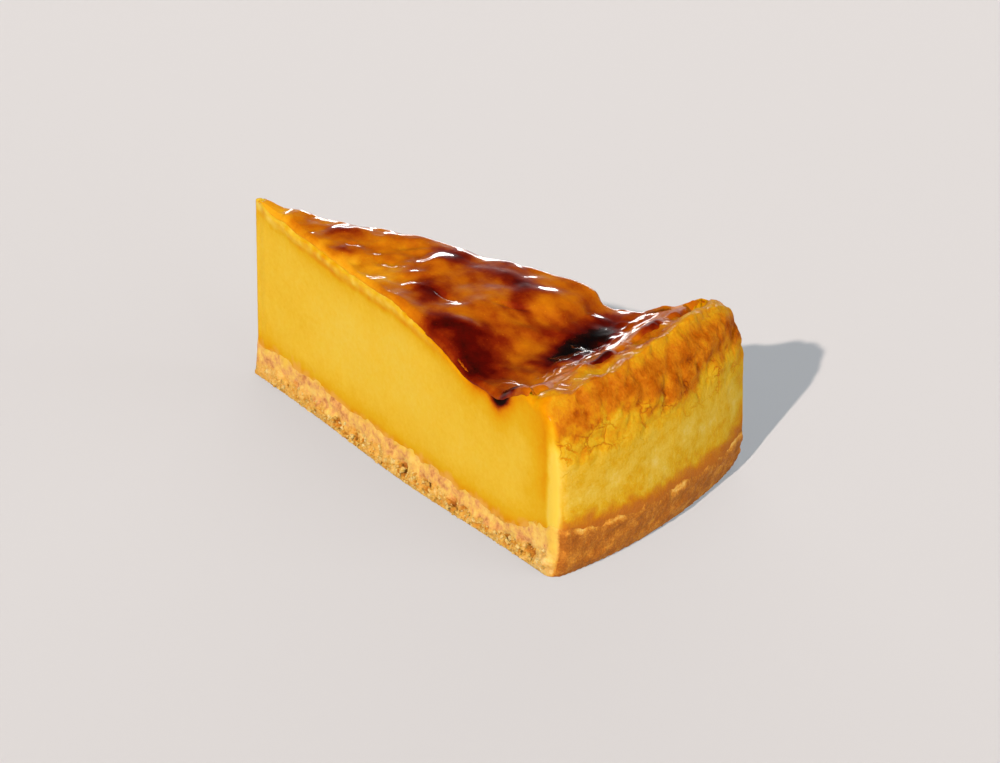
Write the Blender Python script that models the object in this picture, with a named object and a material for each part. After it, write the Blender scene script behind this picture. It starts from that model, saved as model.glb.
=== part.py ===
"""A baked sweet potato cake slice: a crumbly biscuit base under a smooth potato filling.

The slice is one tenth of a round 20 cm cake. Its tip points to -X, its baked rim to +X, and it
stands on Z = 0 with the middle of its box over the origin. Each layer starts as a flat sheet of
triangles, is extruded upward in steps, and is then carried onto the true form by one rule.
"""

import math

import bmesh
import bpy
from mathutils import Vector, noise

# Driving sizes, in millimetres
MM = 0.001
CAKE_RADIUS = 100.0
SLICE_ANGLE = math.radians(33.4)
APEX_X = -50.2
APEX_Y = -0.3
TIP_BLUNTNESS = 0.3
TIP_SETBACK = 1.1
LAYER_GAP = 0.3

# Heights of the top, from the plateau at the tip over the sunken ring to the baked rim
PLATEAU_AT_TIP = 38.0
PLATEAU_FALL = 0.045
PLATEAU_BACK_DROP = 0.8
TIP_CURL = 0.7
MOAT_FRONT = 30.6
MOAT_BACK = 29.0
MOAT_START_FRONT, MOAT_START_BACK = 55.0, 58.0
MOAT_FLOOR_FRONT, MOAT_FLOOR_BACK = 75.5, 77.0
RIM_START, RIM_CREST_FRONT, RIM_CREST_BACK = 81.0, 93.5, 97.0
RIM_MIDDLE = 36.9
RIM_DROP, RIM_SKEW = 2.3, 0.6
BLISTER_HEIGHT = 0.9
FOLD_HEIGHT = 0.7
INNER_RIDGE, OUTER_RIDGE = 0.8, 1.0
POCKET_DEPTH = 1.3
FRONT_FOLD = 0.9
SKIN_STEP = 1.6

# The outer wall and the rounding of its edges
WALL_FOOT_INSET = 1.6
WALL_FOOT_HEIGHT = 7.0
SHOULDER_INSET_FRONT, SHOULDER_INSET_BACK = 4.2, 2.6
SHOULDER_HEIGHT = 9.0
CORNER_ROUND_FRONT, CORNER_ROUND_BACK = 2.6, 1.6
BACK_CORNER_BULGE = 0.5
CUT_EDGE_ROUND = 1.6
PLATE_DEPTH = 0.7
PLATE_STEP = 0.55

# The biscuit base
BASE_AT_TIP = 7.3
BASE_MIDDLE = 6.2
LIP_RISE_START, LIP_RISE_END = 84.0, 98.0
LIP_HEIGHT = 7.9
LIP_SLANT = 1.5
FLARE_DEPTH = 1.2
FLARE_ELSEWHERE = 0.5
FLARE_UNDERCUT = 0.4
FLARE_CENTRE, FLARE_REACH = 50.0, 22.0
CRUMB_DEPTH = 1.2
CRUMB_SIZE = 3.6

# How finely the sheet is divided: millimetres between rows and between columns
ROW_STEP_PLATEAU = 2.4
ROW_STEP_RIM = 1.5
COLUMN_STEP = 2.3

# Shares of each layer's height at which its sides have a row of points
FILLING_LEVELS = (0.0, 0.09, 0.2, 0.32, 0.44, 0.55, 0.65, 0.74, 0.82, 0.885, 0.935, 0.965, 0.985, 1.0)
BASE_LEVELS = (0.0, 0.14, 0.34, 0.56, 0.8, 1.0)

HALF_ANGLE = SLICE_ANGLE / 2.0


def smooth(low, high, value):
    """Ramp from 0 at low to 1 at high with level ends."""
    t = min(max((value - low) / (high - low), 0.0), 1.0)
    return t * t * (3.0 - 2.0 * t)


def mix(a, b, share):
    """Blend two values."""
    return a + (b - a) * share


def hill(value, centre, reach):
    """A round bump of height 1 at its centre."""
    return math.exp(-((value - centre) / reach) ** 2)


def grain(x, y, z, size, seed):
    """Soft noise between about -1 and 1 whose lumps measure size."""
    return noise.noise(Vector((x / size + seed, y / size - seed, z / size + 0.5 * seed)))


def outer_radius(across):
    """Radius of the cake in plan, drawn in where a cut meets the wall and the corner is round."""
    rounding = CORNER_ROUND_FRONT if across < 0.0 else CORNER_ROUND_BACK
    arc_centre = CAKE_RADIUS - rounding
    corner_angle = HALF_ANGLE - math.asin(rounding / arc_centre)
    turn = abs(across) * HALF_ANGLE - corner_angle
    bulge = BACK_CORNER_BULGE * smooth(0.3, 0.9, across)
    if turn <= 0.0:
        return CAKE_RADIUS + bulge
    reach = rounding ** 2 - (arc_centre * math.sin(turn)) ** 2
    return arc_centre * math.cos(turn) + math.sqrt(max(reach, 0.0)) + bulge


def base_top(x, y):
    """Height of the joint between biscuit and filling, which climbs a little at the rim."""
    r = math.hypot(x, y)
    across = math.atan2(y, x) / HALF_ANGLE if r > 1.0 else 0.0
    floor = mix(BASE_AT_TIP, BASE_MIDDLE, smooth(20.0, 30.0, r))
    lip = LIP_HEIGHT - LIP_SLANT * across + 0.9 * hill(across, -0.95, 0.25) + 0.7 * hill(across, 0.95, 0.2)
    height = mix(floor, lip, smooth(LIP_RISE_START, LIP_RISE_END, r))
    return height + 0.35 * grain(x, y, 0.0, 5.0, 3.1)


def plateau(r, across):
    """Height of the glazed plateau, higher at the tip, lower along the far part of the back cut."""
    sag = PLATEAU_BACK_DROP * smooth(0.2, 1.0, across) * smooth(42.0, 52.0, r)
    return PLATEAU_AT_TIP - PLATEAU_FALL * r + TIP_CURL * hill(r, 2.0, 3.0) - sag


def skin_step(x, y):
    """The torn edge of the top skin behind the sunken ring, a low cliff on the back half."""
    line = 68.4 + 0.1 * (20.0 - y)
    cliff = 1.0 - smooth(line - 0.3, line + 1.2, x)
    return SKIN_STEP * cliff * smooth(60.0, 68.0, x) * smooth(2.0, 12.0, y)


def rim_folds(x, y):
    """Folds of the baked rim: an inner and an outer ridge with long pockets between them."""
    r = math.hypot(x, y)
    window = smooth(82.0, 87.0, r) * (1.0 - smooth(95.5, 98.5, r))
    slant = y + 0.75 * (x - 88.0)
    folds = 1.0 - 2.0 * abs(grain(slant, 0.35 * x, 0.0, 6.5, 7.7))
    pockets = hill(y, -10.5, 6.5) + 0.8 * hill(y, 6.5, 5.5) + 0.7 * hill(y, 18.0, 4.0)
    inner = INNER_RIDGE * hill(r, 88.6, 1.8) * pockets
    trough = POCKET_DEPTH * hill(r, 91.7, 1.9) * pockets
    outer = OUTER_RIDGE * hill(r, 94.8, 1.9) * smooth(-20.0, 20.0, y)
    front_fold = FRONT_FOLD * (hill(x, 84.5, 1.8) - hill(x, 80.5, 2.2)) * hill(y, -21.0, 4.5)
    return FOLD_HEIGHT * window * (folds - 0.5) + inner - trough + outer + front_fold


def cake_top(x, y):
    """Height of the whole top surface over a point of the plan."""
    r = math.hypot(x, y)
    across = math.atan2(y, x) / HALF_ANGLE if r > 1.0 else 0.0
    to_back = smooth(-0.9, 0.9, across)
    moat = mix(MOAT_FRONT, MOAT_BACK, to_back)
    start = mix(MOAT_START_FRONT, MOAT_START_BACK, to_back)
    floor = mix(MOAT_FLOOR_FRONT, MOAT_FLOOR_BACK, to_back)
    crest = mix(RIM_CREST_FRONT, RIM_CREST_BACK, smooth(0.3, 1.0, across))
    rim = RIM_MIDDLE - (RIM_DROP + RIM_SKEW * across) * min(abs(across), 1.0) ** 3
    height = mix(plateau(r, across), moat, smooth(start, floor, r))
    height = mix(height, rim, smooth(RIM_START, crest, r))
    blisters = BLISTER_HEIGHT * (grain(x, y, 0.0, 8.5, 1.3) + 0.4 * grain(x, y, 0.0, 4.0, 5.9))
    return height + blisters * smooth(1.0, 10.0, r) + skin_step(x, y) + rim_folds(x, y)


def wall_relief(y, z):
    """Plates and cracks of the baked wall: high, crumbly plates above a calmer belt."""
    plates = abs(grain(y, 0.0, z, 6.0, 2.2)) * 2.0 - 0.5
    belt = PLATE_DEPTH * smooth(20.0, 27.0, z)
    step = PLATE_STEP * smooth(24.0, 28.5, z + 2.0 * grain(y, 0.0, 0.0, 9.0, 8.8))
    return belt * plates - step + 0.25 * grain(y, 0.0, z, 10.0, 4.4)


def plan_point(share, across, wall_radius, cut_inset, tip_shift):
    """Place a sheet point in plan.

    Args:
        share: 0 at the tip, 1 at the outer wall.
        across: -1 at the front cut, 1 at the back cut.
        wall_radius: distance of the wall from the apex at this height.
        cut_inset: how far the cut face is drawn in here, negative where it bulges.
        tip_shift: how far the tip stands out here.
    """
    r = wall_radius * share
    angle = across * HALF_ANGLE
    x = r * math.cos(angle)
    y = r * math.sin(angle)
    half_width = r * math.sin(HALF_ANGLE)
    y += across * (math.hypot(half_width, TIP_BLUNTNESS) - half_width)
    x -= 0.2 * (1.0 - across * across) * (1.0 - smooth(0.0, 0.02, share))
    x += TIP_SETBACK * (1.0 - smooth(0.0, 0.05, share))
    x -= tip_shift * (1.0 - smooth(0.0, 0.06, share))
    inset = min(cut_inset, 0.6 * half_width + 0.1) * abs(across) ** 8
    x += inset * math.sin(HALF_ANGLE)
    y -= inset * math.cos(HALF_ANGLE) * math.copysign(1.0, across)
    return x, y


def sheet_rows():
    """Shares of the radius at which the sheet has a row, finer over the ring and the rim."""
    shares = [0.0, 0.012, 0.028]
    r = shares[-1] * CAKE_RADIUS
    while r < CAKE_RADIUS - ROW_STEP_RIM:
        r += mix(ROW_STEP_PLATEAU, ROW_STEP_RIM, smooth(58.0, 72.0, r))
        shares.append(r / CAKE_RADIUS)
    return [share / shares[-1] for share in shares]


def row_of_points(bm, share):
    """Add one row of sheet points from the front cut to the back cut, closer at both ends."""
    width = 2.0 * CAKE_RADIUS * share * math.sin(HALF_ANGLE)
    steps = max(2, round(width / COLUMN_STEP))
    points = []
    for index in range(steps + 1):
        even = 2.0 * index / steps - 1.0
        across = mix(even, math.sin(0.5 * math.pi * even), 0.45)
        points.append(bm.verts.new((share, across, 0.0)))
    return points


def zip_rows(bm, lower, upper):
    """Fill the band between two rows of unlike count with triangles."""
    i, j = 0, 0
    while i < len(lower) - 1 or j < len(upper) - 1:
        next_lower = lower[i + 1].co.y if i < len(lower) - 1 else math.inf
        next_upper = upper[j + 1].co.y if j < len(upper) - 1 else math.inf
        if next_lower < next_upper:
            bm.faces.new((lower[i], upper[j], lower[i + 1]))
            i += 1
        else:
            bm.faces.new((lower[i], upper[j], upper[j + 1]))
            j += 1


def raise_levels(bm, levels):
    """Extrude the sheet upward in steps; each point then holds (share, across, level)."""
    sheet = list(bm.faces)
    for level in levels[1:]:
        grown = bmesh.ops.extrude_face_region(bm, geom=sheet)["geom"]
        for item in grown:
            if isinstance(item, bmesh.types.BMVert):
                item.co.z = level
        if level != levels[1]:
            bmesh.ops.delete(bm, geom=sheet, context="FACES")
        sheet = [item for item in grown if isinstance(item, bmesh.types.BMFace)]


def filling_point(share, across, level):
    """Carry a point of the raised sheet onto the potato filling."""
    radius = outer_radius(across)
    x, y = plan_point(share, across, radius, 0.0, 0.0)
    low = base_top(x, y) + 0.5 * LAYER_GAP
    high = cake_top(x, y)
    z = mix(low, high, level)
    depth = high - z
    shoulder = mix(SHOULDER_INSET_FRONT, SHOULDER_INSET_BACK, smooth(0.3, 1.0, across))
    shoulder *= (1.0 - min(depth / SHOULDER_HEIGHT, 1.0)) ** 2
    foot = WALL_FOOT_INSET * (1.0 - min(z / WALL_FOOT_HEIGHT / 1.6, 1.0)) ** 2
    radius += wall_relief(y, z) * share ** 12 - shoulder - foot
    rounding = CUT_EDGE_ROUND * smooth(0.0, 0.12, share)
    bend = 1.0 - min(max(depth / max(rounding, 0.01), 0.0), 1.0)
    inset = rounding * (1.0 - math.sqrt(1.0 - bend * bend))
    inset += 0.12 * grain(x, 3.0 * across, z, 9.0, 6.1) * (1.0 - bend)
    x, y = plan_point(share, across, radius, inset, 0.0)
    if level == 0.0:
        z = base_top(x, y) + 0.5 * LAYER_GAP
    elif level == 1.0:
        z = cake_top(x, y)
    return x, y, z


def base_point(share, across, level):
    """Carry a point of the raised sheet onto the biscuit base, with its crumbs and pits."""
    radius = outer_radius(across)
    x, y = plan_point(share, across, radius, 0.0, 0.0)
    z = (base_top(x, y) - 0.5 * LAYER_GAP) * level
    low_part = (1.0 - level) ** 1.3
    crumbs = CRUMB_DEPTH * grain(x, 9.0 * across, z, CRUMB_SIZE, 9.4)
    crumbs *= smooth(0.0, 0.25, level) * (1.0 - 0.7 * smooth(0.75, 1.0, level))
    flare = FLARE_DEPTH * hill(x, FLARE_CENTRE, FLARE_REACH) + FLARE_ELSEWHERE
    flare -= FLARE_UNDERCUT * hill(level, 0.0, 0.1)
    foot = WALL_FOOT_INSET * (1.0 - min(z / WALL_FOOT_HEIGHT, 1.0)) ** 2
    lip = 0.5 * hill(level, 0.92, 0.2)
    radius += (0.5 * crumbs + lip) * share ** 12 - foot
    x, y = plan_point(share, across, radius, -flare * low_part - crumbs, 0.9 * low_part)
    if level == 1.0:
        z = base_top(x, y) - 0.5 * LAYER_GAP
    return x, y, z


def make_material(name, colour, roughness):
    """Make the plain finish of one layer."""
    material = bpy.data.materials.new(name)
    material.use_nodes = True
    shader = material.node_tree.nodes["Principled BSDF"]
    shader.inputs["Base Color"].default_value = (*colour, 1.0)
    shader.inputs["Roughness"].default_value = roughness
    shader.inputs["Metallic"].default_value = 0.0
    return material


def make_layer(name, levels, place, material):
    """Build one layer of the slice as a closed solid.

    Args:
        name: the object's name.
        levels: the shares of the layer's height at which its sides have a row.
        place: the rule that carries a raised sheet point onto the layer, in millimetres.
        material: the layer's finish.
    """
    bm = bmesh.new()
    rows = [row_of_points(bm, share) for share in sheet_rows()]
    for lower, upper in zip(rows, rows[1:]):
        zip_rows(bm, lower, upper)
    raise_levels(bm, levels)
    for vert in bm.verts:
        x, y, z = place(*vert.co)
        vert.co = Vector((x + APEX_X, y + APEX_Y, z)) * MM
    bmesh.ops.recalc_face_normals(bm, faces=bm.faces)
    flat = [face for face in bm.faces if all(vert.co.z < 1e-7 for vert in face.verts)]
    if flat:
        bmesh.ops.dissolve_faces(bm, faces=flat, use_verts=True)
    bmesh.ops.triangulate(bm, faces=bm.faces)
    mesh = bpy.data.meshes.new(name)
    bm.to_mesh(mesh)
    bm.free()
    mesh.materials.append(material)
    mesh.shade_smooth()
    mesh.set_sharp_from_angle(angle=math.radians(50.0))
    layer = bpy.data.objects.new(name, mesh)
    bpy.context.scene.collection.objects.link(layer)
    return layer


def main():
    """Clear the scene and build the two layers of the slice."""
    for item in list(bpy.data.objects):
        bpy.data.objects.remove(item, do_unlink=True)
    biscuit = make_material("baked_biscuit_crumb", (0.62, 0.33, 0.1), 0.85)
    potato = make_material("baked_potato_custard", (0.82, 0.48, 0.05), 0.45)
    make_layer("biscuit_base", BASE_LEVELS, base_point, biscuit)
    make_layer("potato_filling", FILLING_LEVELS, filling_point, potato)


main()
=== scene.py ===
"""A slice of baked sweet potato cake under a burnt sugar glaze, on a pale studio floor.

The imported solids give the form. Two pieces take their place, built finer by the same rules: the
potato filling with its baked skin, and the biscuit base. A thin glaze lies on the top, and loose
crumbs cling to the cut sides of the base. Lengths are millimetres until a point is put into a mesh.
"""

import logging
import math
import random
from dataclasses import dataclass
from enum import Enum
from typing import Callable, Optional

import bpy
from mathutils import Euler, Matrix, Vector, noise

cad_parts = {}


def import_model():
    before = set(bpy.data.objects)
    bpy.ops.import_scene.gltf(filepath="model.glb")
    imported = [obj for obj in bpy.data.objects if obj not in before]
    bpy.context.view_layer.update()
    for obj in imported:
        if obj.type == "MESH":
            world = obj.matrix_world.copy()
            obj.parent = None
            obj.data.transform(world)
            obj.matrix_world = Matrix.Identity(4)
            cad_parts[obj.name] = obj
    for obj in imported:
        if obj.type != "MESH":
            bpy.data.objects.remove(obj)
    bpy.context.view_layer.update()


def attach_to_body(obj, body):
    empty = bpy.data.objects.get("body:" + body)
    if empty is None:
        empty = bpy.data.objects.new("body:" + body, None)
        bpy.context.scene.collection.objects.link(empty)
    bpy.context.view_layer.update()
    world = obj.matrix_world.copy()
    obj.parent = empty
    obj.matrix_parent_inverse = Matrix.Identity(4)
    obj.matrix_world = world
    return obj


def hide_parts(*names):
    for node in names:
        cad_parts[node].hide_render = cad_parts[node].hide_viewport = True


LOG = logging.getLogger("sweet_potato_cake")
MM = 0.001

Tree = bpy.types.NodeTree
Socket = bpy.types.NodeSocket
Material = bpy.types.Material
Piece = bpy.types.Object
Point = tuple[float, float, float]
Stops = tuple[tuple[float, str], ...]


def smooth(low: float, high: float, value: float) -> float:
    """Ramp from 0 at low to 1 at high with level ends."""
    t = min(max((value - low) / (high - low), 0.0), 1.0)
    return t * t * (3.0 - 2.0 * t)


def mix(a: float, b: float, share: float) -> float:
    """Blend two values."""
    return a + (b - a) * share


def fall(low: float, high: float, value: float) -> float:
    """Ramp from 1 at low to 0 at high with level ends."""
    return 1.0 - smooth(low, high, value)


def hill(value: float, centre: float, reach: float) -> float:
    """A round bump of height 1 at its centre."""
    return math.exp(-((value - centre) / reach) ** 2)


def fade(distance: float, reach: float) -> float:
    """Full strength up to a distance of 0, dying away beyond it."""
    return math.exp(-max(distance, 0.0) / reach)


def grain(x: float, y: float, z: float, size: float, seed: float) -> float:
    """Soft noise between about -1 and 1 whose lumps measure size."""
    return noise.noise(Vector((x / size + seed, y / size - seed, z / size + 0.5 * seed)))


def crumble(x: float, y: float, z: float, size: float, metric: str = "DISTANCE") -> float:
    """Lumps of one size with creases between them, about -0.5 in a crease and 0.5 on a lump."""
    return 0.5 - noise.voronoi(Vector((x, y, z)) / size, distance_metric=metric)[0][0]


def linear(colour: str) -> tuple[float, float, float, float]:
    """Turn an sRGB hex colour into linear light.

    Args:
        colour: six hex digits after a hash.

    Returns:
        Red, green, blue and a full alpha.
    """
    channels = [int(colour[start:start + 2], 16) / 255.0 for start in (1, 3, 5)]
    light = [c / 12.92 if c <= 0.04045 else ((c + 0.055) / 1.055) ** 2.4 for c in channels]
    return (light[0], light[1], light[2], 1.0)


def feed(tree: Tree, node: bpy.types.Node, inputs: dict) -> None:
    """Fill a node's inputs.

    Args:
        tree: the node tree that the node is in.
        node: the node.
        inputs: what each input takes, by name or number: a socket to link or a plain value.
    """
    for name, source in inputs.items():
        if isinstance(source, Socket):
            tree.links.new(source, node.inputs[name])
        else:
            node.inputs[name].default_value = source


def add_node(
    tree: Tree,
    kind: str,
    inputs: Optional[dict] = None,
    stops: Stops = (),
    result: int | str = 0,
    **settings: object,
) -> Socket:
    """Add one node with its settings and links.

    Args:
        tree: the node tree that it joins.
        kind: the node's type name, without its ShaderNode prefix.
        inputs: what each input takes, by name or number: a socket to link or a plain value.
        stops: a colour ramp's places and hex colours.
        result: the output that is wanted, by name or number.
        settings: the node's own properties.

    Returns:
        The wanted output.
    """
    node = tree.nodes.new("ShaderNode" + kind)
    for name, value in settings.items():
        setattr(node, name, value)
    feed(tree, node, inputs or {})
    if stops:
        elements = node.color_ramp.elements
        for element in list(elements)[1:]:
            elements.remove(element)
        for index, (place, colour) in enumerate(stops):
            element = elements[0] if index == 0 else elements.new(place)
            element.position = place
            element.color = linear(colour)
    return node.outputs[result]


def read_marks(tree: Tree, *names: str) -> list[Socket]:
    """Read the numbers that a piece's points store for its material."""
    return [add_node(tree, "Attribute", result="Fac", attribute_name=name) for name in names]


def reckon(tree: Tree, operation: str, *terms: Socket | float) -> Socket:
    """Join sockets and plain numbers by one sum."""
    return add_node(tree, "Math", dict(enumerate(terms)), operation=operation)


def blend(tree: Tree, share: Socket, low: Socket | tuple, high: Socket | tuple) -> Socket:
    """Mix two colours or heights, each a socket or a plain value."""
    return add_node(tree, "MixRGB", {"Fac": share, "Color1": low, "Color2": high})


def nearness(tree: Tree, distance: Socket, reach: float) -> Socket:
    """Turn a distance into 1 at 0, falling to 0 at its reach."""
    limits = {0: distance, 1: 0.0, 2: reach, 3: 1.0, 4: 0.0}
    return add_node(tree, "MapRange", limits, interpolation_type="SMOOTHSTEP")


def new_material(name: str) -> tuple[Material, Tree, bpy.types.Node]:
    """Start a material that holds one Principled shader.

    Args:
        name: the material's name.

    Returns:
        The material, its tree and its shader node.
    """
    material = bpy.data.materials.new(name)
    material.use_nodes = True
    return material, material.node_tree, material.node_tree.nodes["Principled BSDF"]


def speckle(tree: Tree, place: Socket, size_mm: float, detail: float) -> Socket:
    """Add a noise around 0.5 whose patches measure size_mm, with finer layers by its detail."""
    inputs = {"Vector": place, "Scale": 1.0 / (size_mm * MM), "Detail": detail, "Roughness": 0.6}
    return add_node(tree, "TexNoise", inputs)


def shifted(tree: Tree, tone: Socket, *parts: tuple[Socket, float, float]) -> Socket:
    """Shift a tone by patterns.

    Args:
        tree: the node tree.
        tone: the tone to start from.
        parts: for each pattern its socket, its middle value and its weight.

    Returns:
        The shifted tone.
    """
    for pattern, middle, weight in parts:
        centred = reckon(tree, "SUBTRACT", pattern, middle)
        tone = reckon(tree, "MULTIPLY_ADD", centred, weight, tone)
    return tone


class Side(Enum):
    """The two cuts of the slice, by their sign across it."""

    FRONT = -1.0
    BACK = 1.0


@dataclass(frozen=True)
class Scorch:
    """One burnt patch of the sugared top, in millimetres from the tip."""

    x: float
    y: float
    long: float
    wide: float
    turn: float
    burn: float
    bump: float

    def cover(self, x: float, y: float) -> float:
        """How deep inside the patch a point lies, 1 at its middle.

        Args:
            x: place along the slice.
            y: place across the slice.

        Returns:
            A share from 0 to 1.
        """
        angle = math.radians(self.turn)
        dx, dy = x - self.x, y - self.y
        along = (dx * math.cos(angle) + dy * math.sin(angle)) / self.long
        beside = (dy * math.cos(angle) - dx * math.sin(angle)) / self.wide
        return math.exp(-(along * along + beside * beside))


SCORCHES = tuple(
    Scorch(*values)
    for values in (
        (21.8, 1.0, 4.6, 2.4, 38.0, 0.46, 0.62), (27.4, -4.2, 3.4, 1.7, 30.0, 0.46, 0.42),
        (15.6, -1.4, 2.8, 1.2, 38.0, 0.20, 0.30), (33.0, 6.5, 3.0, 2.2, 20.0, 0.22, 0.25),
        (43.6, 6.3, 4.4, 3.8, 35.0, 0.66, 0.75), (47.6, -6.0, 4.6, 3.6, -40.0, 0.60, 0.30),
        (53.2, 9.2, 4.6, 3.0, 30.0, 0.46, 0.45), (58.6, 7.6, 4.6, 3.4, 10.0, 0.56, 0.40),
        (62.0, 2.8, 3.4, 2.6, 0.0, 0.52, 0.10), (57.0, -12.6, 5.5, 3.2, -20.0, 0.58, 0.20),
        (61.6, -10.2, 5.4, 2.2, 30.0, 0.48, 0.36), (64.6, -15.0, 5.6, 4.4, -10.0, 0.66, 0.10),
        (67.0, -18.6, 5.6, 2.4, -16.0, 0.62, 0.00), (70.5, 1.5, 4.5, 2.8, 50.0, 0.44, 0.20),
        (50.0, 14.5, 3.5, 2.0, 15.0, 0.35, 0.30), (76.6, 7.5, 7.5, 3.4, 93.0, 0.98, 0.00),
        (77.0, -2.0, 7.5, 3.2, 96.0, 0.98, 0.00), (77.0, 3.0, 8.0, 2.4, 94.0, 0.90, 0.00),
        (74.0, 14.5, 4.5, 3.0, 60.0, 0.50, 0.00), (79.8, -22.6, 2.4, 1.6, 0.0, 0.90, 0.00),
        (88.4, 8.0, 5.0, 1.5, 100.0, 0.56, 0.00), (88.8, -5.5, 4.2, 1.5, 84.0, 0.74, 0.00),
        (89.6, 18.0, 2.6, 1.8, 90.0, 0.16, 0.00), (85.0, -21.0, 3.4, 1.2, 30.0, 0.44, 0.00),
    )
)
SWELLS = tuple(
    Scorch(*values)
    for values in (
        (68.2, -1.2, 2.6, 1.4, 38.0, 0.0, 0.36), (72.2, 4.0, 3.0, 1.4, 38.0, 0.0, 0.42),
        (71.6, 13.2, 3.2, 1.5, 38.0, 0.0, 0.50), (31.8, -2.0, 1.5, 0.8, 38.0, 0.0, 0.20),
        (35.8, -3.8, 2.2, 0.9, 30.0, 0.0, 0.26), (42.2, -2.8, 2.8, 1.0, 38.0, 0.0, 0.30),
        (44.0, -6.8, 2.0, 0.9, 40.0, 0.0, 0.26), (41.6, 2.0, 2.6, 1.1, 38.0, 0.0, 0.28),
        (37.0, 4.6, 2.4, 1.0, 38.0, 0.0, 0.24), (50.9, -5.0, 2.1, 0.55, -6.0, 0.0, -0.85),
        (62.3, 1.3, 2.2, 0.60, 42.0, 0.0, -0.90), (26.0, -1.9, 0.8, 0.45, 38.0, 0.0, -0.50),
    )
)


@dataclass(frozen=True)
class CakeForm:
    """The true form of the slice in millimetres, by the rules that its solids follow."""

    radius: float = 100.0
    slice_angle: float = math.radians(33.4)
    apex: tuple[float, float] = (-50.2, -0.3)
    tip_bluntness: float = 0.3
    tip_setback: float = 1.1
    layer_gap: float = 0.3
    plateau_at_tip: float = 38.0
    plateau_fall: float = 0.045
    plateau_back_drop: float = 0.8
    tip_curl: float = 0.7
    moat_height: tuple[float, float] = (30.6, 29.0)
    moat_start: tuple[float, float] = (55.0, 58.0)
    moat_floor: tuple[float, float] = (75.5, 77.0)
    rim_start: float = 81.0
    rim_crest: tuple[float, float] = (93.5, 97.0)
    rim_middle: float = 36.9
    rim_drop: float = 2.3
    rim_skew: float = 0.6
    blister_height: float = 0.9
    fold_height: float = 0.7
    inner_ridge: float = 0.8
    outer_ridge: float = 1.0
    pocket_depth: float = 1.3
    front_fold: float = 0.9
    skin_step_height: float = 1.6
    wall_foot_inset: float = 1.6
    wall_foot_height: float = 7.0
    shoulder_inset: tuple[float, float] = (4.2, 2.6)
    shoulder_height: float = 9.0
    corner_round: tuple[float, float] = (2.6, 1.6)
    back_corner_bulge: float = 0.5
    cut_edge_round: float = 1.6
    plate_depth: float = 0.7
    plate_step: float = 0.55
    base_at_tip: float = 7.3
    base_middle: float = 6.2
    lip_rise: tuple[float, float] = (84.0, 98.0)
    lip_height: float = 7.9
    lip_slant: float = 1.5
    flare_depth: float = 1.2
    flare_elsewhere: float = 0.5
    flare_undercut: float = 0.4
    flare_centre: float = 50.0
    flare_reach: float = 22.0
    crumb_depth: float = 1.2
    crumb_size: float = 3.6

    @property
    def half_angle(self) -> float:
        """Half of the angle between the two cuts."""
        return self.slice_angle / 2.0

    def polar(self, x: float, y: float) -> tuple[float, float]:
        """Distance from the tip, and place across the slice from -1 at the front cut to 1.

        Args:
            x: place along the slice from the tip.
            y: place across the slice from its middle.

        Returns:
            The distance and the place across.
        """
        r = math.hypot(x, y)
        return r, (math.atan2(y, x) / self.half_angle if r > 1.0 else 0.0)

    def outer_radius(self, across: float) -> float:
        """Radius of the cake in plan, drawn in where a cut meets the wall.

        Args:
            across: -1 at the front cut, 1 at the back cut.

        Returns:
            The radius in millimetres.
        """
        rounding = self.corner_round[0] if across < 0.0 else self.corner_round[1]
        arc_centre = self.radius - rounding
        turn = abs(across) * self.half_angle - self.half_angle + math.asin(rounding / arc_centre)
        bulge = self.back_corner_bulge * smooth(0.3, 0.9, across)
        if turn <= 0.0:
            return self.radius + bulge
        reach = rounding ** 2 - (arc_centre * math.sin(turn)) ** 2
        return arc_centre * math.cos(turn) + math.sqrt(max(reach, 0.0)) + bulge

    def base_top(self, x: float, y: float) -> float:
        """Height of the joint between biscuit and filling.

        Args:
            x: place along the slice.
            y: place across the slice.

        Returns:
            The height in millimetres.
        """
        r, across = self.polar(x, y)
        floor = mix(self.base_at_tip, self.base_middle, smooth(20.0, 30.0, r))
        lip = self.lip_height - self.lip_slant * across
        lip += 0.9 * hill(across, -0.95, 0.25) + 0.7 * hill(across, 0.95, 0.2)
        height = mix(floor, lip, smooth(*self.lip_rise, r))
        return height + 0.35 * grain(x, y, 0.0, 5.0, 3.1)

    def custard_share(self, x: float, y: float, z: float) -> float:
        """Share of custard in a cut's surface, 0 inside the biscuit, with a ragged boundary.

        Args:
            x: place along the slice.
            y: place across the slice.
            z: height.

        Returns:
            A share from 0 to 1.
        """
        side = math.copysign(5.0, y)
        drift = 2.0 * grain(x, side, z, 3.4, 58.0) + 1.3 * grain(x, side, z, 1.2, 59.0)
        return smooth(-0.8, 1.0, z - self.base_top(x, y) - drift)

    def inland(self, x: float, y: float) -> float:
        """1 away from the outer wall, 0 at it."""
        return fall(94.5, 96.8, math.hypot(x, y))

    def plateau(self, r: float, across: float) -> float:
        """Height of the glazed plateau, higher at the tip."""
        sag = self.plateau_back_drop * smooth(0.2, 1.0, across) * smooth(42.0, 52.0, r)
        return self.plateau_at_tip - self.plateau_fall * r + self.tip_curl * hill(r, 2.0, 3.0) - sag

    def skin_step(self, x: float, y: float) -> float:
        """The torn edge of the top skin, a low cliff on the back half.

        Args:
            x: place along the slice.
            y: place across the slice.

        Returns:
            Its height in millimetres.
        """
        line = 68.4 + 0.1 * (20.0 - y)
        cliff = fall(line - 0.3, line + 1.2, x)
        return self.skin_step_height * cliff * smooth(60.0, 68.0, x) * smooth(2.0, 12.0, y)

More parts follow.
